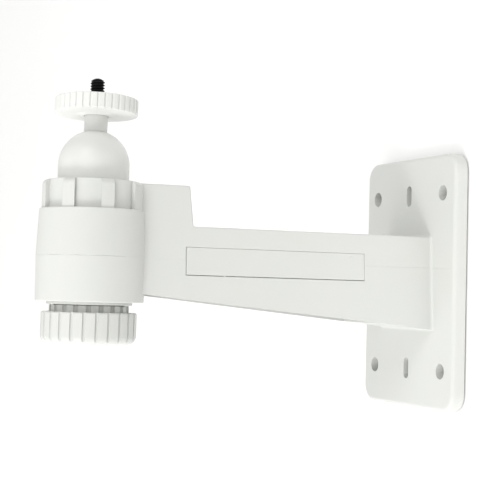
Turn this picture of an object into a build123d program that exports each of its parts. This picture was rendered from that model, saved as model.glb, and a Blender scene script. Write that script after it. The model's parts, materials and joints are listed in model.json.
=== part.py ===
"""Wall bracket with a lockable pan and tilt head that carries a small camera on a 1/4 inch stud.

Frame: origin at the centre of the wall plate's back face, +Y into the wall, +Z up, +X to the right
seen from the room. The arm reaches out along -Y, and the head stands on its end. Millimetres.
"""
import os
from math import cos, radians, sin, sqrt, tan

from build123d import *

# --- wall plate
PLATE_W, PLATE_H, PLATE_T = 84.0, 120.0, 6.5
PLATE_CORNER_R = 8.5
PLATE_EDGE_R = 2.0
SCREW_HOLE_D = 7.2
SCREW_SPACING_X = 62.0
SCREW_SPACING_Z = 83.3
SLOT_W, SLOT_L = 4.5, 10.0
BACK_POCKET_DEPTH = 3.5
BACK_RIM = 3.0
BOSS_WALL = 2.6
BACK_PAD_MARGIN = 4.0

# --- arm, a channel that is open underneath; its sides draft outward towards the bottom and taper to the head
ARM_TOP_Z = 21.2
ARM_TOP_HALF_W = 21.5
ARM_DRAFT_DEG = 3.5
ARM_TAPER = 0.068
ARM_WALL = 3.2
ARM_ROOT_BOTTOM_Z = -22.4
ARM_BOTTOM_RISE = 0.0925
ARM_FLOOR_LENGTH = 31.1
RIB_T, RIB_DEPTH = 2.0, 8.0
RIB_YS = (-56.0, -84.0, -112.0)

ARM_EDGE_R = 0.9
ARM_ROOT_R = 1.4

# --- step in the arm's top, which backs the head
STEP_Y = -123.9
STEP_TOP_Z = 39.3
STEP_DRAFT = 1.7

# --- panel let into the arm's side
PANEL_Y0, PANEL_Y1 = -127.6, -41.3
PANEL_Z0, PANEL_Z1 = -0.7, 11.9
PANEL_T, PANEL_SEAT_DEPTH = 1.6, 1.65
PANEL_GAP, PANEL_SHIFT = 0.18, 0.1

# --- head housing: a sleeve with a ribbed collar, one moulding with the arm
HEAD_Y = -167.0
SLEEVE_BOTTOM_Z, SLEEVE_SEAM_Z, SLEEVE_TOP_Z = -13.5, 6.4, 27.0
SLEEVE_BOTTOM_R, SLEEVE_SEAM_R, SLEEVE_TOP_R = 23.8, 24.1, 23.2
SLEEVE_EDGE_R = 0.6
COLLAR_R, COLLAR_TOP_Z, COLLAR_EDGE_R = 22.4, 39.6, 2.5
COLLAR_RECESS_R = 20.4
COLLAR_RIBS, COLLAR_RIB_DEG = 8, 13.2
HOUSING_BORE_R = 18.75
LIP_UNDER_Z = 35.0
LIP_BORE_R = 16.1

# --- turret: the dome that turns in the collar
DOME_R, DOME_CENTRE_Z = 15.75, 46.5
DOME_CAVITY_R = 12.9
FLANGE_R, FLANGE_T = 18.65, 3.2
WASHER_T = 0.7
AXIAL_PLAY = 0.1

# --- tilting ball and neck; the neck stands a little off upright in the photographed position
LEAN_DEG, LEAN_TOWARDS_DEG = 3.1, 150.0
BALL_R = 12.6
NECK_R, NECK_TOP_Z = 5.2, 69.2
NECK_CLEARANCE = 0.25
NECK_SPIGOT_R, NECK_SPIGOT_DEPTH = 4.0, 12.5
NECK_SEAT_MARGIN = 0.6
NECK_SCREW_R, NECK_SCREW_HEAD_R, NECK_SCREW_HEAD_T = 1.9, 3.6, 2.4
NECK_SCREW_SEAT, NECK_SCREW_GRIP = 5.0, 5.0
TILT_MAX_DEG = 90.0
SLIDING_GAP = 0.3
SHAFT_GAP = 0.08

# --- stud, 1/4"-20 UNC, with the disc that locks the camera down
STUD_R, STUD_TOP_Z = 3.175, 85.6
STUD_BURIED, STUD_KNURL_R = 14.0, 2.9
STUD_TIP_R, STUD_TIP_T = 1.4, 1.2
RELIEF_R, RELIEF_W = 2.6, 0.6
DISC_R, DISC_BOTTOM_Z, DISC_TOP_Z = 18.4, 69.5, 76.3
DISC_FLUTES, DISC_FLUTE_DEPTH, DISC_FLUTE_R = 36, 0.6, 0.65
DISC_EDGE_R = 0.4
HUB_LOW_R, HUB_TOP_R, HUB_DEPTH = 6.4, 8.5, 0.9
NUT_ACROSS_FLATS, NUT_T = 11.1, 5.5
PAD_R, PAD_T = 9.0, 1.3

# --- clamp: bush, plug, knob and the parts they press on
BUSH_FLANGE_R, BUSH_BOTTOM_Z, BUSH_TOP_Z = 18.8, -14.7, 6.0
PLUG_R, PLUG_TOP_Z, PLUG_WALL, PLUG_FLOOR_T = 15.4, 12.3, 3.0, 8.0
SPLINE_R, SPLINE_TEETH, SPLINE_DEPTH, SPLINE_FIT = 17.5, 20, 1.1, 0.05
SPLINE_TOP_Z, SPLINE_BOTTOM_Z = -15.0, -26.2
THRUST_R, THRUST_BORE_R, THRUST_T = 17.0, 5.0, 1.6
CUP_BOTTOM_Z, CUP_TOP_Z, CUP_BORE_R = 27.5, 37.6, 4.0
SPRING_R, SPRING_WIRE_R, SPRING_TURNS = 9.5, 1.0, 4
KNOB_R, KNOB_TOP_Z, KNOB_BOTTOM_Z = 20.95, -17.9, -31.8
KNOB_FLUTES, KNOB_FLUTE_DEPTH, KNOB_FLUTE_R = 24, 0.9, 0.75
KNOB_EDGE_R, KNOB_TOP_EDGE_R = 3.6, 0.8
KNOB_CAP_R, KNOB_CAP_T = 9.0, 1.2
KNOB_SCREW_R, KNOB_SCREW_HEAD_R, KNOB_SCREW_HEAD_T, KNOB_SCREW_SEAT_Z = 2.5, 4.8, 1.0, -28.0

# --- working sizes: longer than anything that they cut or trim
FAR = 200.0
OVER = 1.0
EPS = 0.01

HEAD_AXIS = Pos(0, HEAD_Y, 0)
BALL_CENTRE = Pos(0, HEAD_Y, DOME_CENTRE_Z)


def turned(points, rounds=()):
    """Solid of revolution about the head's axis from (radius, z) points; rounds = (point index, radius)."""
    face = make_face(Plane.XZ * Polyline(*points, close=True))
    for index, radius in rounds:
        r, z = points[index]
        corner = face.vertices().sort_by_distance((r, 0, z))[0]
        face = fillet(corner, radius)
    return HEAD_AXIS * revolve(face, Axis.Z, 360)


def tube(outer_r, inner_r, z0, z1):
    """Plain ring or, with no inner radius, a disc about the head's axis."""
    height = z1 - z0
    ring = Cylinder(outer_r, height, align=(Align.CENTER, Align.CENTER, Align.MIN))
    if inner_r > 0:
        ring -= Cylinder(inner_r, height, align=(Align.CENTER, Align.CENTER, Align.MIN))
    return HEAD_AXIS * Pos(0, 0, z0) * ring


def around_head(shape, count, first_deg=0.0):
    """Copies of a shape drawn at angle 0 (+X of the head's axis), turned about that axis."""
    return [HEAD_AXIS * Rot(0, 0, first_deg + i * 360 / count) * shape for i in range(count)]


def arm_bottom_z(y):
    """Height of the arm's sloping bottom edge at a distance y from the wall."""
    return ARM_ROOT_BOTTOM_Z - ARM_BOTTOM_RISE * (y + PLATE_T)


def arm_half_width(y, z):
    """Half width of the drafted and tapered arm."""
    return ARM_TOP_HALF_W + ARM_TAPER * (y + PLATE_T) + (ARM_TOP_Z - z) * tan(radians(ARM_DRAFT_DEG))


def between_sides(inset):
    """All the space between the arm's two sides, moved in by inset."""
    outward = (1, -ARM_TAPER, tan(radians(ARM_DRAFT_DEG)))
    side = Plane(origin=(ARM_TOP_HALF_W - inset, -PLATE_T, ARM_TOP_Z), z_dir=outward)
    left_of_side = side * Box(2 * FAR, 2 * FAR, 2 * FAR, align=(Align.CENTER, Align.CENTER, Align.MAX))
    return left_of_side & mirror(left_of_side, Plane.YZ)


def side_profile(points):
    """Slab across X whose outline in the YZ plane is given as (y, z) points."""
    return extrude(make_face(Plane.YZ * Polyline(*points, close=True)), PLATE_W, both=True)


def wall_plate():
    plate = extrude(Plane.XZ * RectangleRounded(PLATE_W, PLATE_H, PLATE_CORNER_R), PLATE_T)
    plate = fillet(plate.edges().group_by(Axis.Y)[0], PLATE_EDGE_R)
    inner_w, inner_h = PLATE_W - 2 * BACK_RIM, PLATE_H - 2 * BACK_RIM
    inside_rim = RectangleRounded(inner_w, inner_h, PLATE_CORNER_R - BACK_RIM)
    pocket = extrude(Plane.XZ * inside_rim, BACK_POCKET_DEPTH)
    boss_r = SCREW_HOLE_D / 2 + BOSS_WALL
    for x in (-SCREW_SPACING_X / 2, SCREW_SPACING_X / 2):
        for z in (-SCREW_SPACING_Z / 2, SCREW_SPACING_Z / 2):
            pocket -= extrude(Plane.XZ * Pos(x, z) * Circle(boss_r), BACK_POCKET_DEPTH)
            web = Plane.XZ * Pos(x, z) * Rectangle(BOSS_WALL, PLATE_H)
            pocket -= extrude(web, BACK_POCKET_DEPTH)
    for z in (-SCREW_SPACING_Z / 2, SCREW_SPACING_Z / 2):
        slot_boss = Rectangle(SLOT_W + 2 * BOSS_WALL, SLOT_L + 2 * BOSS_WALL)
        pocket -= extrude(Plane.XZ * Pos(0, z) * slot_boss, BACK_POCKET_DEPTH)
        pocket -= extrude(Plane.XZ * Pos(0, z) * Rectangle(PLATE_W, BOSS_WALL), BACK_POCKET_DEPTH)
    pad_w = 2 * (arm_half_width(-PLATE_T, ARM_ROOT_BOTTOM_Z) + BACK_PAD_MARGIN)
    pad_h = ARM_TOP_Z - ARM_ROOT_BOTTOM_Z + 2 * BACK_PAD_MARGIN
    pad_centre_z = (ARM_TOP_Z + ARM_ROOT_BOTTOM_Z) / 2
    pocket -= extrude(Plane.XZ * Pos(0, pad_centre_z) * Rectangle(pad_w, pad_h), BACK_POCKET_DEPTH)
    return plate - pocket


def plate_holes():
    cuts = []
    for z in (-SCREW_SPACING_Z / 2, SCREW_SPACING_Z / 2):
        for x in (-SCREW_SPACING_X / 2, SCREW_SPACING_X / 2):
            cuts.append(extrude(Plane.XZ * Pos(x, z) * Circle(SCREW_HOLE_D / 2), PLATE_T + OVER, both=True))
        slot = Pos(0, z) * Rot(0, 0, 90) * SlotOverall(SLOT_L, SLOT_W)
        cuts.append(extrude(Plane.XZ * slot, PLATE_T + OVER, both=True))
    return cuts


def arm_outside():
    outline = [
        (-OVER, arm_bottom_z(-OVER)),
        (-OVER, ARM_TOP_Z),
        (STEP_Y, ARM_TOP_Z),
        (STEP_Y - STEP_DRAFT, STEP_TOP_Z),
        (HEAD_Y, STEP_TOP_Z),
        (HEAD_Y, arm_bottom_z(HEAD_Y)),
    ]
    arm = side_profile(outline) & between_sides(0.0)
    upper = arm.edges().filter_by(lambda edge: edge.center().Z > 0)
    return fillet(upper.filter_by(lambda edge: HEAD_Y + OVER < edge.center().Y < -OVER - EPS), ARM_EDGE_R)


def arm_hollow():
    """Channel from the head to the wall: open underneath, then closed by a floor near the wall."""
    head_end = HEAD_Y + SLEEVE_SEAM_R - ARM_WALL
    step_end = STEP_Y - ARM_WALL
    floor_end = -ARM_FLOOR_LENGTH
    deep = -PLATE_H / 2
    outline = [
        (OVER, arm_bottom_z(0.0) + ARM_WALL),
        (OVER, ARM_TOP_Z - ARM_WALL),
        (step_end, ARM_TOP_Z - ARM_WALL),
        (step_end - STEP_DRAFT, STEP_TOP_Z - ARM_WALL),
        (head_end, STEP_TOP_Z - ARM_WALL),
        (head_end, deep),
        (floor_end, deep),
        (floor_end, arm_bottom_z(floor_end) + ARM_WALL),
    ]
    return side_profile(outline) & between_sides(ARM_WALL)


def arm_ribs():
    top = ARM_TOP_Z - ARM_WALL
    ribs = []
    for y in RIB_YS:
        width = 2 * arm_half_width(y, top) - ARM_WALL
        rib = Box(width, RIB_T, RIB_DEPTH + OVER, align=(Align.CENTER, Align.CENTER, Align.MAX))
        ribs.append(Pos(0, y, top + OVER) * rib)
    return ribs


def panel_shape(gap, thickness):
    """Slab that lies in the arm's +X side, smaller all round by the gap."""
    length, height = PANEL_Y1 - PANEL_Y0 - 2 * gap, PANEL_Z1 - PANEL_Z0 - 2 * gap
    centre_y, centre_z = (PANEL_Y0 + PANEL_Y1) / 2, (PANEL_Z0 + PANEL_Z1) / 2
    window = Pos(ARM_TOP_HALF_W, centre_y, centre_z) * Box(ARM_TOP_HALF_W, length, height)
    return window & between_sides(0.0) - between_sides(thickness)


def side_panel():
    """Loose panel, pushed up and towards the wall in its seat."""
    return Pos(0, PANEL_SHIFT, PANEL_SHIFT) * panel_shape(PANEL_GAP, PANEL_T)


def housing_outside():
    points = [
        (0, SLEEVE_BOTTOM_Z),
        (SLEEVE_BOTTOM_R, SLEEVE_BOTTOM_Z),
        (SLEEVE_SEAM_R, SLEEVE_SEAM_Z),
        (SLEEVE_TOP_R, SLEEVE_TOP_Z),
        (COLLAR_R, SLEEVE_TOP_Z),
        (COLLAR_R, COLLAR_TOP_Z),
        (0, COLLAR_TOP_Z),
    ]
    return turned(points, rounds=((1, SLEEVE_EDGE_R), (3, SLEEVE_EDGE_R), (5, COLLAR_EDGE_R)))


def recess_wedge():
    """One hollow of the collar, centred on +X and open outward."""
    half = radians((360 / COLLAR_RIBS - COLLAR_RIB_DEG) / 2)
    x, y = COLLAR_RECESS_R * cos(half), COLLAR_RECESS_R * sin(half)
    outer_x, outer_y = COLLAR_R + ARM_WALL, y + SLEEVE_EDGE_R
    face = make_face(
        [
            ThreePointArc((x, -y), (COLLAR_RECESS_R, 0), (x, y)),
            Polyline((x, y), (outer_x, outer_y), (outer_x, -outer_y), (x, -y)),
        ]
    )
    return Pos(0, 0, SLEEVE_TOP_Z + EPS) * extrude(face, COLLAR_TOP_Z - SLEEVE_TOP_Z + OVER)


def collar_recesses():
    """Hollows between the collar's ribs, but not the two that the arm covers."""
    pitch = 360 / COLLAR_RIBS
    cuts = []
    for i in range(COLLAR_RIBS):
        angle = pitch / 2 + i * pitch
        towards_arm = sin(radians(angle))
        if towards_arm < 0.5:
            cuts.append(HEAD_AXIS * Rot(0, 0, angle) * recess_wedge())
    return cuts


def arm_on_plate():
    """Plate and solid arm, with a small fillet all round the arm's root."""
    body = wall_plate() + arm_outside()
    root = body.edges().filter_by(lambda edge: abs(edge.center().Y + PLATE_T) < EPS)
    near = SCREW_SPACING_X / 2
    root = root.filter_by(lambda edge: max(abs(edge.center().X), abs(edge.center().Z)) < near)
    return fillet(root, ARM_ROOT_R)


def bracket_body():
    body = arm_on_plate() - arm_hollow()
    for rib in arm_ribs():
        body += rib
    body += housing_outside()
    body -= tube(HOUSING_BORE_R, 0, SLEEVE_BOTTOM_Z - OVER, LIP_UNDER_Z)
    body -= tube(LIP_BORE_R, 0, LIP_UNDER_Z - OVER, COLLAR_TOP_Z + OVER)
    for cut in collar_recesses() + plate_holes():
        body -= cut
    return body - panel_shape(0.0, PANEL_SEAT_DEPTH)


def ball_at_tilt_centre(radius):
    return BALL_CENTRE * Sphere(radius)


def leaned(shape):
    """Shape drawn upright on the head's axis, tipped about the ball's centre to where the neck stands."""
    tip = Rot(0, 0, LEAN_TOWARDS_DEG) * Rot(0, LEAN_DEG, 0) * Rot(0, 0, -LEAN_TOWARDS_DEG)
    return BALL_CENTRE * tip * BALL_CENTRE.inverse() * shape


def dome_turret():
    flange_top = LIP_UNDER_Z - WASHER_T - AXIAL_PLAY
    bottom = flange_top - FLANGE_T
    dome = tube(DOME_R, 0, bottom, DOME_CENTRE_Z) + ball_at_tilt_centre(DOME_R)
    dome += tube(FLANGE_R, 0, bottom, flange_top)
    dome -= tube(DOME_CAVITY_R, 0, bottom - OVER, DOME_CENTRE_Z)
    dome -= ball_at_tilt_centre(DOME_CAVITY_R)
    return dome - tilt_slot()


def tilt_slot():
    """Opening that the neck swings through: a round hole on top, run down the side that it leans to."""
    half_w = NECK_R + NECK_CLEARANCE
    reach = 3 * BALL_R
    hole = Cylinder(half_w, reach, align=(Align.CENTER, Align.CENTER, Align.MIN))
    quarter = Box(reach, 2 * half_w, reach, align=(Align.MIN, Align.CENTER, Align.MIN))
    end = Rot(0, TILT_MAX_DEG, 0) * hole
    return BALL_CENTRE * Rot(0, 0, LEAN_TOWARDS_DEG) * (hole + quarter + end)


def pan_washer():
    return tube(HOUSING_BORE_R - AXIAL_PLAY, LIP_BORE_R, LIP_UNDER_Z - WASHER_T, LIP_UNDER_Z)


def pressure_cup():
    cup = tube(DOME_CAVITY_R - SHAFT_GAP, CUP_BORE_R, CUP_BOTTOM_Z, CUP_TOP_Z)
    return cup - ball_at_tilt_centre(BALL_R + SLIDING_GAP)


def clamp_spring():
    """Compression spring at its clamped length."""
    bottom = PLUG_TOP_Z + AXIAL_PLAY + THRUST_T
    height = CUP_BOTTOM_Z - bottom
    path_height = height - 2 * SPRING_WIRE_R
    helix = Helix(path_height / SPRING_TURNS, path_height, SPRING_R)
    section = Plane(origin=helix @ 0, z_dir=helix % 0) * Circle(SPRING_WIRE_R)
    return HEAD_AXIS * Pos(0, 0, bottom + SPRING_WIRE_R) * sweep(section, path=helix)


def tilt_ball():
    """Ball with a flat on top for the neck's shoulder, bored for its spigot and screw."""
    below, above = DOME_CENTRE_Z - 2 * BALL_R, DOME_CENTRE_Z + 2 * BALL_R
    ball = ball_at_tilt_centre(BALL_R) - tube(BALL_R, 0, neck_seat_z(), above)
    ball -= tube(NECK_SPIGOT_R + SHAFT_GAP, 0, neck_spigot_z() - AXIAL_PLAY, above)
    ball -= tube(NECK_SCREW_R + SHAFT_GAP, 0, below, above)
    return leaned(ball - tube(NECK_SCREW_HEAD_R + SLIDING_GAP, 0, below, neck_screw_seat_z()))


def neck_seat_z():
    """Height of the flat on the ball that the neck's shoulder turns on."""
    return DOME_CENTRE_Z + sqrt(BALL_R**2 - (NECK_R + NECK_SEAT_MARGIN) ** 2)


def neck_spigot_z():
    return DOME_CENTRE_Z + BALL_R - NECK_SPIGOT_DEPTH


def neck_screw_seat_z():
    return DOME_CENTRE_Z - BALL_R + NECK_SCREW_SEAT


def neck_post():
    shoulder = neck_seat_z() + AXIAL_PLAY
    post = tube(NECK_R, 0, shoulder, NECK_TOP_Z) + tube(NECK_SPIGOT_R, 0, neck_spigot_z(), shoulder)
    post -= tube(STUD_KNURL_R, 0, NECK_TOP_Z - STUD_BURIED, NECK_TOP_Z)
    return leaned(post - tube(NECK_SCREW_R, 0, neck_spigot_z(), neck_spigot_z() + NECK_SCREW_GRIP))


def neck_screw():
    """Screw that holds the neck in the ball; its head bears in the ball's underside."""
    seat = neck_screw_seat_z() - AXIAL_PLAY
    shank = tube(NECK_SCREW_R, 0, seat, neck_spigot_z() + NECK_SCREW_GRIP)
    return leaned(shank + tube(NECK_SCREW_HEAD_R, 0, seat - NECK_SCREW_HEAD_T, seat))


def stud():
    """Threaded stud, drawn at its outside diameter, on a knurled shank moulded into the neck.

    A thread relief level with the pad's top parts the lock disc's thread from the camera's.
    """
    pad_top = DISC_TOP_Z + AXIAL_PLAY + PAD_T
    points = [
        (0, NECK_TOP_Z - STUD_BURIED),
        (STUD_KNURL_R, NECK_TOP_Z - STUD_BURIED),
        (STUD_KNURL_R, NECK_TOP_Z),
        (STUD_R, NECK_TOP_Z),
        (STUD_R, pad_top),
        (RELIEF_R, pad_top),
        (RELIEF_R, pad_top + RELIEF_W),
        (STUD_R, pad_top + RELIEF_W),
        (STUD_R, STUD_TOP_Z - STUD_TIP_T),
        (STUD_TIP_R, STUD_TOP_Z),
        (0, STUD_TOP_Z),
    ]
    return leaned(turned(points))


def round_grip(radius, z0, z1, bottom_r, top_r):
    """Disc with rounded rims."""
    return turned([(0, z0), (radius, z0), (radius, z1), (0, z1)], rounds=((1, bottom_r), (2, top_r)))


def flutes(radius, z0, z1, count, depth, flute_r):
    """Scoops spaced round a grip's rim."""
    flute = Pos(radius + flute_r - depth, 0, (z0 + z1) / 2) * Cylinder(flute_r, z1 - z0 + OVER)
    return around_head(flute, count, 180 / count)


def nut_blank():
    hexagon = RegularPolygon(NUT_ACROSS_FLATS / 2, 6, major_radius=False)
    return HEAD_AXIS * Pos(0, 0, DISC_TOP_Z - NUT_T) * extrude(hexagon, NUT_T)


def stud_bore():
    return tube(STUD_R + SHAFT_GAP, 0, DISC_BOTTOM_Z - OVER, DISC_TOP_Z + OVER)


def lock_disc():
    """Fluted lock wheel with a low conical hub underneath and a nut let into its top."""
    disc = round_grip(DISC_R, DISC_BOTTOM_Z, DISC_TOP_Z, DISC_EDGE_R, DISC_EDGE_R)
    hub_low_z, clear_of_neck = DISC_BOTTOM_Z - HUB_DEPTH, NECK_R + SLIDING_GAP
    disc += turned([
        (clear_of_neck, hub_low_z),
        (HUB_LOW_R, hub_low_z),
        (HUB_TOP_R, DISC_BOTTOM_Z),
        (HUB_TOP_R, DISC_BOTTOM_Z + OVER),
        (clear_of_neck, DISC_BOTTOM_Z + OVER),
    ])
    for cut in flutes(DISC_R, DISC_BOTTOM_Z, DISC_TOP_Z, DISC_FLUTES, DISC_FLUTE_DEPTH, DISC_FLUTE_R):
        disc -= cut
    return leaned(disc - stud_bore() - nut_blank())


def disc_nut():
    return leaned(nut_blank() - stud_bore())


def camera_pad():
    bottom = DISC_TOP_Z + AXIAL_PLAY
    return leaned(tube(PAD_R, STUD_R + SHAFT_GAP, bottom, bottom + PAD_T))


def clamp_bush():
    """Threaded bush pressed into the sleeve; its flange shows below the sleeve."""
    bush = tube(HOUSING_BORE_R, PLUG_R + SHAFT_GAP, SLEEVE_BOTTOM_Z, BUSH_TOP_Z)
    return bush + tube(BUSH_FLANGE_R, PLUG_R + SHAFT_GAP, BUSH_BOTTOM_Z, SLEEVE_BOTTOM_Z)


def thrust_washer():
    bottom = PLUG_TOP_Z + AXIAL_PLAY
    return tube(THRUST_R, THRUST_BORE_R, bottom, bottom + THRUST_T)


def spline(gap, z0, z1):
    """Toothed drum that carries the knob."""
    drum = tube(SPLINE_R + gap, 0, z0, z1)
    groove = Pos(SPLINE_R + gap, 0, (z0 + z1) / 2) * Cylinder(SPLINE_DEPTH - gap, z1 - z0 + OVER)
    for cut in around_head(groove, SPLINE_TEETH):
        drum -= cut
    return drum


def clamp_plug():
    """Hollow screw plug that rises in the bush, with the splined drum below it."""
    hollow_floor = SPLINE_BOTTOM_Z + PLUG_FLOOR_T
    plug = tube(PLUG_R, 0, SPLINE_TOP_Z, PLUG_TOP_Z) + spline(0.0, SPLINE_BOTTOM_Z, SPLINE_TOP_Z)
    plug -= tube(PLUG_R - PLUG_WALL, 0, hollow_floor, PLUG_TOP_Z - PLUG_WALL)
    return plug - tube(KNOB_SCREW_R, 0, SPLINE_BOTTOM_Z, hollow_floor)


def knob_grip():
    """Fluted grip pushed onto the drum, with a seat for its screw and cap underneath."""
    grip = round_grip(KNOB_R, KNOB_BOTTOM_Z, KNOB_TOP_Z, KNOB_EDGE_R, KNOB_TOP_EDGE_R)
    for cut in flutes(KNOB_R, KNOB_BOTTOM_Z, KNOB_TOP_Z, KNOB_FLUTES, KNOB_FLUTE_DEPTH, KNOB_FLUTE_R):
        grip -= cut
    grip -= spline(SPLINE_FIT, SPLINE_BOTTOM_Z, KNOB_TOP_Z + OVER)
    grip -= tube(KNOB_SCREW_R + SHAFT_GAP, 0, KNOB_BOTTOM_Z - OVER, KNOB_TOP_Z)
    grip -= tube(KNOB_SCREW_HEAD_R + SHAFT_GAP, 0, KNOB_BOTTOM_Z - OVER, KNOB_SCREW_SEAT_Z)
    return grip - tube(KNOB_CAP_R, 0, KNOB_BOTTOM_Z - OVER, KNOB_BOTTOM_Z + KNOB_CAP_T)


def knob_screw():
    shank = tube(KNOB_SCREW_R, 0, KNOB_SCREW_SEAT_Z, SPLINE_BOTTOM_Z + PLUG_FLOOR_T)
    return shank + tube(KNOB_SCREW_HEAD_R, 0, KNOB_SCREW_SEAT_Z - KNOB_SCREW_HEAD_T, KNOB_SCREW_SEAT_Z)


def knob_cap():
    return tube(KNOB_CAP_R - SHAFT_GAP, 0, KNOB_BOTTOM_Z + AXIAL_PLAY, KNOB_BOTTOM_Z + KNOB_CAP_T)


NODES = {
    "bracket_body": bracket_body,
    "side_panel": side_panel,
    "clamp_bush": clamp_bush,
    "pan_washer": pan_washer,
    "dome_turret": dome_turret,
    "pressure_cup": pressure_cup,
    "clamp_spring": clamp_spring,
    "tilt_ball": tilt_ball,
    "neck_post": neck_post,
    "neck_screw": neck_screw,
    "stud": stud,
    "camera_pad": camera_pad,
    "lock_disc": lock_disc,
    "disc_nut": disc_nut,
    "thrust_washer": thrust_washer,
    "clamp_plug": clamp_plug,
    "knob_grip": knob_grip,
    "knob_screw": knob_screw,
    "knob_cap": knob_cap,
}

os.makedirs("parts", exist_ok=True)
for name, make in NODES.items():
    export_step(make(), f"parts/{name}.step")
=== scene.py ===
import json
from math import cos, hypot, radians, sin, tan, tau

import bmesh
import bpy
from mathutils import Matrix, Vector


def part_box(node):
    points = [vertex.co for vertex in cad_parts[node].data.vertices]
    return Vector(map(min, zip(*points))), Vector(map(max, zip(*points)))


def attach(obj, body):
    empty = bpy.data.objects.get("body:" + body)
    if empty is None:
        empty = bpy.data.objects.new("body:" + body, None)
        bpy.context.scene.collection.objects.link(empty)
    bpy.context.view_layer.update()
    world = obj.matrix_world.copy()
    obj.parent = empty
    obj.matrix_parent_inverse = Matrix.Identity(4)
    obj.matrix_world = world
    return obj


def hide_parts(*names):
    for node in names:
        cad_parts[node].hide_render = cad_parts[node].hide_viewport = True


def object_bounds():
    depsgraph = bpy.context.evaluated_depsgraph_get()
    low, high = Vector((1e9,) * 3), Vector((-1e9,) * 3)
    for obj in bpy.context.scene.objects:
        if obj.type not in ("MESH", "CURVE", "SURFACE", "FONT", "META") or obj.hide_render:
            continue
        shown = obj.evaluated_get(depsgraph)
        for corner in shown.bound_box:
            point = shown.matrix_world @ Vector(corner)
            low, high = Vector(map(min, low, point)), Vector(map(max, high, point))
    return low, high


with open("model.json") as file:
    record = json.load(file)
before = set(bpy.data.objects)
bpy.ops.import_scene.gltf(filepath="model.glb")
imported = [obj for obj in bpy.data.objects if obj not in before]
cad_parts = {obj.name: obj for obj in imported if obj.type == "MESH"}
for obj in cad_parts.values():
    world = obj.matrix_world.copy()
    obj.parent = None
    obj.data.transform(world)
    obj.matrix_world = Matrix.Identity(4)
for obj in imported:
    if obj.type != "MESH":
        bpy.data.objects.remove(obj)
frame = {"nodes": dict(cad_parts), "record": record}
cad_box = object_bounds()
nodes = frame["nodes"]

MM = 0.001
SMOOTH_ANGLE = radians(28)


def middle(node):
    low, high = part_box(node)
    return (low + high) / 2


AXIS_Y = middle("knob_grip").y
JOINTS = {joint["name"]: joint for joint in frame["record"]["behaviour"]["joints"]}
BALL_CENTRE = Vector(JOINTS["tilt"]["pos_m"])
NECK_AXIS = Vector(JOINTS["swivel"]["axis"]).normalized()


def span_along_neck(node):
    """Lowest and highest reach of a node along the leaning neck, measured from the ball's centre."""
    reach = [(vert.co - BALL_CENTRE).dot(NECK_AXIS) for vert in nodes[node].data.vertices]
    return min(reach), max(reach)


# ---------------------------------------------------------------- materials
class Nodes:
    """Short calls for building a node material."""

    def __init__(self, name):
        self.material = bpy.data.materials.new(name)
        self.material.use_nodes = True
        self.tree = self.material.node_tree
        self.shader = self.tree.nodes["Principled BSDF"]
        self.place = self.add("ShaderNodeTexCoord").outputs["Object"]

    def add(self, kind, links=None, **settings):
        node = self.tree.nodes.new(kind)
        for key, value in settings.items():
            setattr(node, key, value)
        for key, value in (links or {}).items():
            self.feed(node.inputs[key], value)
        return node

    def feed(self, socket, value):
        if isinstance(value, bpy.types.NodeSocket):
            self.tree.links.new(value, socket)
        else:
            socket.default_value = value

    def noise(self, scale, detail=3.0, roughness=0.55, stretch=None):
        place = self.place
        if stretch:
            place = self.add("ShaderNodeMapping", {"Vector": place, "Scale": stretch}).outputs[0]
        links = {"Vector": place, "Scale": scale, "Detail": detail, "Roughness": roughness}
        return self.add("ShaderNodeTexNoise", links).outputs["Fac"]

    def ranged(self, value, low, high, to_low, to_high):
        links = {"Value": value, "From Min": low, "From Max": high, "To Min": to_low, "To Max": to_high}
        return self.add("ShaderNodeMapRange", links).outputs["Result"]

    def mix(self, factor, a, b):
        node = self.add("ShaderNodeMix", data_type="RGBA")
        self.feed(node.inputs["Factor"], factor)
        self.feed(node.inputs["A"], a)
        self.feed(node.inputs["B"], b)
        return node.outputs["Result"]

    def maths(self, operation, a, b=0.5):
        return self.add("ShaderNodeMath", {0: a, 1: b}, operation=operation).outputs[0]

    def edges(self, radius):
        """Rounded normal, and a mask that rises to 1 on edges and corners."""
        rounded = self.add("ShaderNodeBevel", {"Radius": radius}, samples=6).outputs[0]
        true = self.add("ShaderNodeNewGeometry").outputs["Normal"]
        dot = self.add("ShaderNodeVectorMath", {0: rounded, 1: true}, operation="DOT_PRODUCT")
        return rounded, self.ranged(dot.outputs["Value"], 0.985, 0.80, 0.0, 1.0)

    def bump(self, height, distance, strength, normal=None):
        links = {"Height": height, "Distance": distance, "Strength": strength}
        if normal is not None:
            links["Normal"] = normal
        return self.add("ShaderNodeBump", links).outputs[0]


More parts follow.
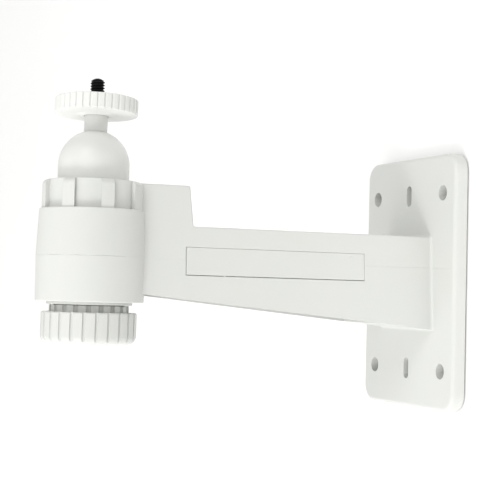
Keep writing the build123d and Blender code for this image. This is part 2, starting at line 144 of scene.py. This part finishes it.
def moulded_plastic(name, colour, roughness=0.46, gloss=0.35, edge=0.25 * MM, dust_and_shade=0.35):
    """White moulded plastic: faint mottling, spark-eroded grain, painted shade darkening its corners, rubbed
    edges.
    """
    n = Nodes(name)
    cloud = n.noise(38.0, 4.0)
    speck = n.noise(900.0, 2.0)
    warm = tuple(c * k for c, k in zip(colour, (1.0, 0.995, 0.985))) + (1.0,)
    cool = tuple(c * k for c, k in zip(colour, (0.990, 0.994, 0.995))) + (1.0,)
    base = n.mix(n.ranged(cloud, 0.35, 0.65, 0.0, 1.0), cool, warm)
    dull = tuple(c * 0.975 for c in colour) + (1.0,)
    base = n.mix(n.ranged(speck, 0.62, 0.80, 0.0, 0.35), base, dull)
    rounded, worn = n.edges(edge)
    rubbed = tuple(min(1.0, c * 1.06) for c in colour) + (1.0,)
    patchy = n.maths("MULTIPLY", worn, n.ranged(n.noise(260.0), 0.40, 0.62, 0.15, 0.8))
    base = n.mix(patchy, base, rubbed)
    # Painted shade: where ambient occlusion finds corners and gaps, the colour darkens towards a yellowish
    # grey.
    shade = n.add("ShaderNodeAmbientOcclusion", {"Distance": 1.5 * MM}, samples=4).outputs["AO"]
    corner_shade_colour = tuple(c * k for c, k in zip(colour, (0.66, 0.65, 0.60))) + (1.0,)
    base = n.mix(n.ranged(shade, 0.55, 0.05, 0.0, dust_and_shade), base, corner_shade_colour)
    n.feed(n.shader.inputs["Base Color"], base)
    rough = n.ranged(n.noise(120.0, 5.0), 0.3, 0.7, roughness - 0.05, roughness + 0.07)
    n.feed(n.shader.inputs["Roughness"], n.maths("SUBTRACT", rough, n.maths("MULTIPLY", patchy, 0.08)))
    n.shader.inputs["Specular IOR Level"].default_value = gloss
    fine = n.bump(n.noise(2900.0, 2.0, 0.6), 0.02 * MM, 0.35, rounded)
    n.feed(n.shader.inputs["Normal"], n.bump(n.noise(55.0, 2.0), 0.05 * MM, 0.12, fine))
    return n.material


def turned_metal(name, colour, roughness=0.3):
    """Drawn or turned metal: fine rings round the axis, tarnish and bright edges."""
    n = Nodes(name)
    tarnish = n.noise(180.0, 5.0, 0.65)
    dark = tuple(c * 0.62 for c in colour) + (1.0,)
    base = n.mix(n.ranged(tarnish, 0.45, 0.75, 0.0, 0.7), colour + (1.0,), dark)
    rounded, worn = n.edges(0.15 * MM)
    base = n.mix(worn, base, tuple(min(1.0, c * 1.25) for c in colour) + (1.0,))
    n.feed(n.shader.inputs["Base Color"], base)
    n.shader.inputs["Metallic"].default_value = 1.0
    n.feed(n.shader.inputs["Roughness"], n.ranged(tarnish, 0.3, 0.7, roughness - 0.08, roughness + 0.14))
    rings = n.noise(60.0, 2.0, 0.5, stretch=(1.0, 1.0, 90.0))
    n.feed(n.shader.inputs["Normal"], n.bump(rings, 0.01 * MM, 0.3, rounded))
    return n.material


def black_oxide(name):
    """Blackened steel of the stud: almost no shine, greyer where the thread's crests have rubbed."""
    n = Nodes(name)
    rounded, worn = n.edges(0.08 * MM)
    patchy = n.maths("MULTIPLY", worn, n.ranged(n.noise(700.0), 0.45, 0.7, 0.0, 0.6))
    blotch = n.mix(n.noise(300.0, 4.0), (0.004, 0.004, 0.005, 1.0), (0.009, 0.009, 0.011, 1.0))
    n.feed(n.shader.inputs["Base Color"], n.mix(patchy, blotch, (0.05, 0.05, 0.055, 1.0)))
    n.shader.inputs["Specular IOR Level"].default_value = 0.18
    n.feed(n.shader.inputs["Roughness"], n.ranged(n.noise(500.0), 0.3, 0.7, 0.5, 0.7))
    n.feed(n.shader.inputs["Normal"], n.bump(n.noise(2600.0, 2.0), 0.01 * MM, 0.4, rounded))
    return n.material


def rubber(name):
    """Matt black rubber with a fine pebbled skin and a little dust."""
    n = Nodes(name)
    dust_and_shade = n.ranged(n.noise(420.0, 4.0), 0.55, 0.8, 0.0, 0.5)
    n.feed(n.shader.inputs["Base Color"], n.mix(dust_and_shade, (0.012, 0.012, 0.012, 1.0), (0.05, 0.048, 0.045, 1.0)))
    n.shader.inputs["Specular IOR Level"].default_value = 0.3
    n.feed(n.shader.inputs["Roughness"], n.ranged(n.noise(300.0), 0.3, 0.7, 0.72, 0.9))
    rounded, _ = n.edges(0.2 * MM)
    n.feed(n.shader.inputs["Normal"], n.bump(n.noise(1900.0, 2.0), 0.03 * MM, 0.6, rounded))
    return n.material


WHITE = (0.635, 0.642, 0.622)
NYLON = (0.66, 0.645, 0.56)
STEEL = (0.56, 0.56, 0.57)

# The bush, plug and knob get the strongest painted shade in their corners and gaps.
FINISHES = {
    "white_shell": moulded_plastic("white_shell", WHITE),
    "white_panel": moulded_plastic("white_panel", WHITE, roughness=0.44),
    "white_bush": moulded_plastic("white_bush", (0.64, 0.645, 0.62), dust_and_shade=0.7),
    "nylon_washer": moulded_plastic("nylon_washer", NYLON, roughness=0.38),
    "white_dome": moulded_plastic("white_dome", (0.69, 0.695, 0.674), roughness=0.36, gloss=0.45),
    "nylon_cup": moulded_plastic("nylon_cup", NYLON, roughness=0.38),
    "spring_steel": turned_metal("spring_steel", STEEL, 0.26),
    "white_ball": moulded_plastic("white_ball", WHITE, roughness=0.36),
    "white_neck": moulded_plastic("white_neck", (0.675, 0.68, 0.658), roughness=0.42),
    "screw_steel": turned_metal("screw_steel", STEEL, 0.32),
    "black_steel": black_oxide("black_steel"),
    "black_rubber": rubber("black_rubber"),
    # The disc's white is lighter than the shell's: painted light, standing in for the light its underside
    # gets from below.
    "white_disc": moulded_plastic("white_disc", (0.735, 0.738, 0.720), edge=0.06 * MM),
    "brass": turned_metal("brass", (0.72, 0.52, 0.22), 0.28),
    "washer_steel": turned_metal("washer_steel", STEEL, 0.3),
    "white_plug": moulded_plastic("white_plug", WHITE, dust_and_shade=0.9),
    "white_knob": moulded_plastic("white_knob", (0.625, 0.632, 0.612), edge=0.12 * MM, dust_and_shade=0.9),
    "white_cap": moulded_plastic("white_cap", WHITE),
}


def dress_cad_nodes():
    """Gives every CAD node the finish of its material slot."""
    for part in frame["record"]["subparts"]:
        mesh = nodes[part["node"]].data
        mesh.materials.clear()
        mesh.materials.append(FINISHES[part["material_slot"]])


# ---------------------------------------------------------------- mesh helpers
def piece_from(bm, name, body, slot, replaced=()):
    """Ends a bmesh as a shaded piece that rides on a body and stands for CAD nodes."""
    mesh = bpy.data.meshes.new(name)
    bm.to_mesh(mesh)
    bm.free()
    for layer in ("custom_normal", "sharp_edge", "sharp_face"):
        if layer in mesh.attributes:
            mesh.attributes.remove(mesh.attributes[layer])
    mesh.polygons.foreach_set("use_smooth", [True] * len(mesh.polygons))
    mesh.set_sharp_from_angle(angle=SMOOTH_ANGLE)
    mesh.materials.clear()
    mesh.materials.append(FINISHES[slot])
    piece = bpy.data.objects.new(name, mesh)
    bpy.context.scene.collection.objects.link(piece)
    weigh = piece.modifiers.new("even_shading", "WEIGHTED_NORMAL")
    weigh.keep_sharp = True
    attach(piece, body)
    if replaced:
        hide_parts(*replaced)
    return piece


def surface_of(node):
    """Editable copy of a CAD node's surface with its doubled corners joined."""
    bm = bmesh.new()
    bm.from_mesh(nodes[node].data)
    bmesh.ops.remove_doubles(bm, verts=bm.verts, dist=0.002 * MM)
    return bm


def cut_level(bm, height):
    geometry = bm.verts[:] + bm.edges[:] + bm.faces[:]
    bmesh.ops.bisect_plane(bm, geom=geometry, dist=0.0001 * MM, plane_co=(0, 0, height), plane_no=(0, 0, 1))


def from_axis(point):
    """Distance of a point from the head's upright axis."""
    return hypot(point.x, point.y - AXIS_Y)


# ---------------------------------------------------------------- bracket moulding
PARTING_Z, PARTING_HALF_W = 6.4 * MM, 0.14 * MM
SLEEVE_R = 23.6 * MM
ARM_SIDE_X = 22.1 * MM
ARM_TAPER = 0.068
ARM_DRAFT = tan(radians(3.5))
PLATE_FRONT_Y = -6.5 * MM


def parting_depth(point):
    """Depth of the mould's parting line: uneven round the sleeve, hair fine along the arm."""
    if from_axis(point) > SLEEVE_R and point.y < AXIS_Y + 12 * MM:
        angle = (point.y - AXIS_Y) / SLEEVE_R
        uneven = 0.5 + 0.25 * sin(9 * angle + point.x * 310) + 0.25 * sin(23 * angle + 1.3)
        return (0.06 + 0.16 * uneven) * MM
    if abs(point.x) > ARM_SIDE_X + ARM_TAPER * (point.y - PLATE_FRONT_Y):
        return 0.09 * MM
    return 0.0


def bracket_shell():
    """Plate, arm and sleeve, with the parting line of the mould run round them."""
    bm = surface_of("bracket_body")
    for offset in (-PARTING_HALF_W, 0.0, PARTING_HALF_W):
        cut_level(bm, PARTING_Z + offset)
    bm.normal_update()
    moves = []
    for vert in bm.verts:
        if abs(vert.co.z - PARTING_Z) < 0.001 * MM:
            moves.append((vert, vert.normal * parting_depth(vert.co)))
    for vert, move in moves:
        vert.co -= move
    return piece_from(bm, "bracket_shell", "bracket", "white_shell", ["bracket_body"])


# ---------------------------------------------------------------- stud
THREAD_PITCH = 1.27 * MM
THREAD_DEPTH = 0.69 * MM
FLANK_SLOPE, ROOT_FLAT = 2.6, 0.16
RINGS_PER_TURN, POINTS_ROUND = 14, 72
STUD_R = 3.175 * MM
SHANK_R, KNURL_DEPTH, KNURL_POINTS = 2.9 * MM, 0.15 * MM, 4
RELIEF_R, RELIEF_WIDTH = 2.6 * MM, 0.6 * MM
TIP_R, TIP_LENGTH = 1.3 * MM, 1.5 * MM
CLEAR_OF_NECK = 0.01 * MM


def threaded_stud():
    """Stud with its real thread, a rounded tip, and the knurled shank inside the neck."""
    low, top = span_along_neck("stud")
    neck_top = span_along_neck("neck_post")[1]
    relief_low = span_along_neck("camera_pad")[1]
    relief_top = relief_low + RELIEF_WIDTH

    def thread_r(angle, z):
        turn = ((z - neck_top) / THREAD_PITCH - angle / tau) % 1.0
        flank = min(1.0, max(0.0, abs(turn - 0.5) * FLANK_SLOPE - ROOT_FLAT))
        cut = STUD_R - THREAD_DEPTH * flank
        if relief_low < z < relief_top:
            cut = min(cut, RELIEF_R)
        below_tip = min(1.0, (top - z) / TIP_LENGTH)
        return min(cut, TIP_R + (STUD_R - TIP_R) * sin(below_tip * tau / 4))

    def knurl_r(point):
        in_groove = point % KNURL_POINTS < KNURL_POINTS // 2
        return SHANK_R - (KNURL_DEPTH if in_groove else 0.0)

    rows = []
    for share in (0.0, 0.5, 1.0):
        z = low + (neck_top - low) * share
        rows.append([(knurl_r(j), z) for j in range(POINTS_ROUND)])
    step = THREAD_PITCH / RINGS_PER_TURN
    heights = [neck_top + i * step + CLEAR_OF_NECK for i in range(int((top - neck_top) / step))]
    for z in heights + [top]:
        rows.append([(thread_r(tau * j / POINTS_ROUND, z), z) for j in range(POINTS_ROUND)])
    return lathe(rows, "threaded_stud", "neck", "black_steel", ["stud"])


def lathe(rows, name, body, slot, replaced):
    """Closed surface about the neck's axis from rings of (radius, height), the lowest ring first."""
    lean = Vector((0, 0, 1)).rotation_difference(NECK_AXIS).to_matrix()
    bm = bmesh.new()
    rings = []
    for row in rows:
        count = len(row)
        ring = []
        for j, (r, z) in enumerate(row):
            angle = tau * j / count
            ring.append(bm.verts.new(BALL_CENTRE + lean @ Vector((r * cos(angle), r * sin(angle), z))))
        rings.append(ring)
    for a, b in zip(rings, rings[1:]):
        for j in range(len(a)):
            k = (j + 1) % len(a)
            bm.faces.new((a[j], a[k], b[k], b[j]))
    bm.faces.new(list(reversed(rings[0])))
    bm.faces.new(rings[-1])
    return piece_from(bm, name, body, slot, replaced)


# ---------------------------------------------------------------- side panel
PANEL_EDGE_R = 0.15 * MM
LOW_NIB_Y, HIGH_NIB_Y = -109.4 * MM, -80.2 * MM
NIB_OUT, MARK_RISE = 0.1 * MM, 0.1 * MM


def side_cover():
    """Panel with rounded edges, the two moulding nibs on its rim and the round mark at one end."""
    bm = surface_of("side_panel")
    bmesh.ops.dissolve_limit(bm, angle_limit=radians(1), verts=bm.verts, edges=bm.edges)
    bmesh.ops.bevel(bm, geom=bm.edges[:], offset=PANEL_EDGE_R, segments=3, profile=0.5, affect="EDGES")
    low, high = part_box("side_panel")

    def outer_x(y, z):
        return high.x - ARM_TAPER * (high.y - y) - ARM_DRAFT * (z - low.z)

    low_nib = (LOW_NIB_Y, low.z - NIB_OUT, 0.55 * MM, 0.35 * MM, 0.25 * MM)
    high_nib = (HIGH_NIB_Y, high.z + NIB_OUT, 0.45 * MM, 0.35 * MM, 0.25 * MM)
    gate_mark = (high.y - 6.3 * MM, high.z - 2.3 * MM, 1.0 * MM, 1.0 * MM, 0.02 * MM)
    for y, z, wide, tall, sunk in (low_nib, high_nib, gate_mark):
        centre = Vector((outer_x(y, z) - sunk, y, z))
        ball = bmesh.ops.create_icosphere(bm, subdivisions=3, radius=1.0)
        for vert in ball["verts"]:
            x, y_part, z_part = vert.co
            vert.co = centre + Vector((x * (sunk + MARK_RISE), y_part * wide, z_part * tall))
    return piece_from(bm, "side_cover", "bracket", "white_panel", ["side_panel"])


# ---------------------------------------------------------------- light, stage and camera
def plane(name, corners, material):
    bm = bmesh.new()
    bm.faces.new([bm.verts.new(c) for c in corners])
    mesh = bpy.data.meshes.new(name)
    bm.to_mesh(mesh)
    bm.free()
    mesh.materials.append(material)
    board = bpy.data.objects.new(name, mesh)
    bpy.context.scene.collection.objects.link(board)
    return board


def pale_board(name, glow, is_wall=False):
    """White studio board. The wall turns grey and stops glowing on its far right, painted shade for the
    head's right side, and is clear from behind.
    """
    n = Nodes(name)
    tone = n.mix(n.noise(6.0), (0.90, 0.90, 0.895, 1.0), (0.92, 0.92, 0.915, 1.0))
    n.shader.inputs["Roughness"].default_value = 0.9
    n.shader.inputs["Specular IOR Level"].default_value = 0.0
    n.shader.inputs["Emission Color"].default_value = (1.0, 1.0, 1.0, 1.0)
    n.shader.inputs["Emission Strength"].default_value = glow
    if is_wall:
        # Painted shade: from x = 0.10 m to 0.30 m the wall turns grey and loses its glow, to darken the
        # head's right side.
        across = n.add("ShaderNodeSeparateXYZ", {"Vector": n.place}).outputs["X"]
        tone = n.mix(n.ranged(across, 0.10, 0.30, 0.0, 1.0), tone, (0.34, 0.34, 0.34, 1.0))
        n.feed(n.shader.inputs["Emission Strength"], n.ranged(across, 0.10, 0.30, glow, 0.0))
    n.feed(n.shader.inputs["Base Color"], tone)
    if is_wall:
        behind = n.add("ShaderNodeNewGeometry").outputs["Backfacing"]
        clear = n.add("ShaderNodeBsdfTransparent").outputs[0]
        both = n.add("ShaderNodeMixShader", {0: behind, 1: n.shader.outputs[0], 2: clear})
        n.feed(n.tree.nodes["Material Output"].inputs["Surface"], both.outputs[0])
    return n.material


def build_stage():
    reach, floor_z = 2.5, -0.62
    wall_y = cad_box[1][1] + 1.0 * MM
    plane("floor", [(-reach, -reach, floor_z), (reach, -reach, floor_z), (reach, reach, floor_z),
                    (-reach, reach, floor_z)], pale_board("floor", 0.6))
    plane("wall", [(-reach, wall_y, floor_z), (reach, wall_y, floor_z), (reach, wall_y, reach),
                   (-reach, wall_y, reach)], pale_board("wall", 0.05, is_wall=True))


def soft_light(name, direction, distance, size, power):
    """Square soft box that faces the middle of the object."""
    aim = Vector(((cad_box[0][0] + cad_box[1][0]) / 2, (cad_box[0][1] + cad_box[1][1]) / 2, 0.0))
    lamp = bpy.data.lights.new(name, "AREA")
    lamp.shape, lamp.size, lamp.energy = "SQUARE", size, power
    box = bpy.data.objects.new(name, lamp)
    box.location = aim + Vector(direction).normalized() * distance
    box.rotation_euler = (box.location - aim).to_track_quat("Z", "Y").to_euler()
    box.visible_camera = False
    bpy.context.scene.collection.objects.link(box)


def build_lights():
    soft_light("low_box", (0.494, -0.545, -0.678), 0.8, 0.22, 2.2)
    soft_light("high_box", (0.50, -0.62, 0.60), 0.9, 0.45, 2.3)
    world = bpy.data.worlds.new("studio")
    world.use_nodes = True
    world.node_tree.nodes["Background"].inputs["Color"].default_value = (1.0, 1.0, 0.99, 1.0)
    world.node_tree.nodes["Background"].inputs["Strength"].default_value = 0.78
    bpy.context.scene.world = world
    bpy.context.scene.view_settings.view_transform = "Standard"


def build_camera():
    """Camera at the photograph's angle: from the room's right, a little below the arm."""
    azimuth, elevation, roll = radians(66.322), radians(-3.75), radians(1.549)
    distance, across, rise = 633.27 * MM, -4.869 * MM, 17.166 * MM
    back = Vector((sin(azimuth) * cos(elevation), -cos(azimuth) * cos(elevation), sin(elevation)))
    right = (-back).cross(Vector((0, 0, 1))).normalized()
    up = back.cross(right)
    place = Vector((0, -85 * MM, 15 * MM)) + back * distance + right * across + up * rise
    rolled_right = right * cos(roll) + up * sin(roll)
    rolled_up = up * cos(roll) - right * sin(roll)
    lens = bpy.data.cameras.new("camera")
    lens.sensor_width = 36.0
    lens.lens = 98.14
    lens.shift_x, lens.shift_y = -0.0036, -0.0854
    lens.clip_start, lens.clip_end = 0.01, 20.0
    camera = bpy.data.objects.new("camera", lens)
    bpy.context.scene.collection.objects.link(camera)
    turn = Matrix((rolled_right, rolled_up, back)).transposed()
    camera.matrix_world = Matrix.Translation(place) @ turn.to_4x4()
    bpy.context.scene.camera = camera


build_camera()
build_lights()
build_stage()
dress_cad_nodes()
bracket_shell()
side_cover()
threaded_stud()
